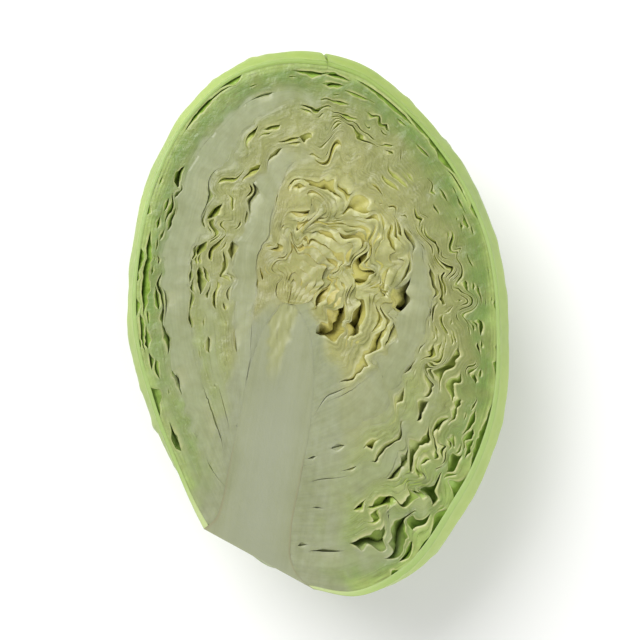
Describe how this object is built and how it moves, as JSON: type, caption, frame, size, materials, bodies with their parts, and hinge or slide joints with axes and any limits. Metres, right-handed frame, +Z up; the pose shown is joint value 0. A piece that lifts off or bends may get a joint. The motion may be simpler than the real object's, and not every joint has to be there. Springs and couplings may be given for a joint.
{
  "type": "half head of green cabbage",
  "caption": "Lengthwise half of a green cabbage head lying on its rounded back, with nested crumpled leaves, thick ribs and a pale stem on the cut face.",
  "frame": {"origin": "on the surface that the half lies on, under the middle of its outline", "axes": "+Z up, square to the cut face; +Y along the stem's axis, from the butt to the tip of the head; +X to the wider side of the cut face"},
  "size_m": [0.1346, 0.1806, 0.0668],
  "materials": {
    "wrapper_leaf": "waxy green leaf with paler veins",
    "head_leaf": "pale green leaf, moist where cut",
    "heart_leaf": "cream yellow leaf, moist where cut",
    "stem": "smooth greenish white flesh, moist where cut"
  },
  "bodies": {
    "root": {"leaf_01": "wrapper_leaf", "leaf_02": "wrapper_leaf", "leaf_03": "head_leaf", "leaf_04": "head_leaf", "leaf_05": "head_leaf", "leaf_06": "head_leaf", "leaf_07": "head_leaf", "leaf_08": "head_leaf", "leaf_09": "head_leaf", "leaf_10": "head_leaf", "leaf_11": "heart_leaf", "leaf_12": "heart_leaf", "leaf_13": "heart_leaf", "leaf_14": "heart_leaf", "leaf_15": "heart_leaf", "leaf_16": "heart_leaf", "leaf_17": "heart_leaf", "leaf_18": "heart_leaf", "heart_bud": "heart_leaf", "stem": "stem"}
  },
  "joints": []
}
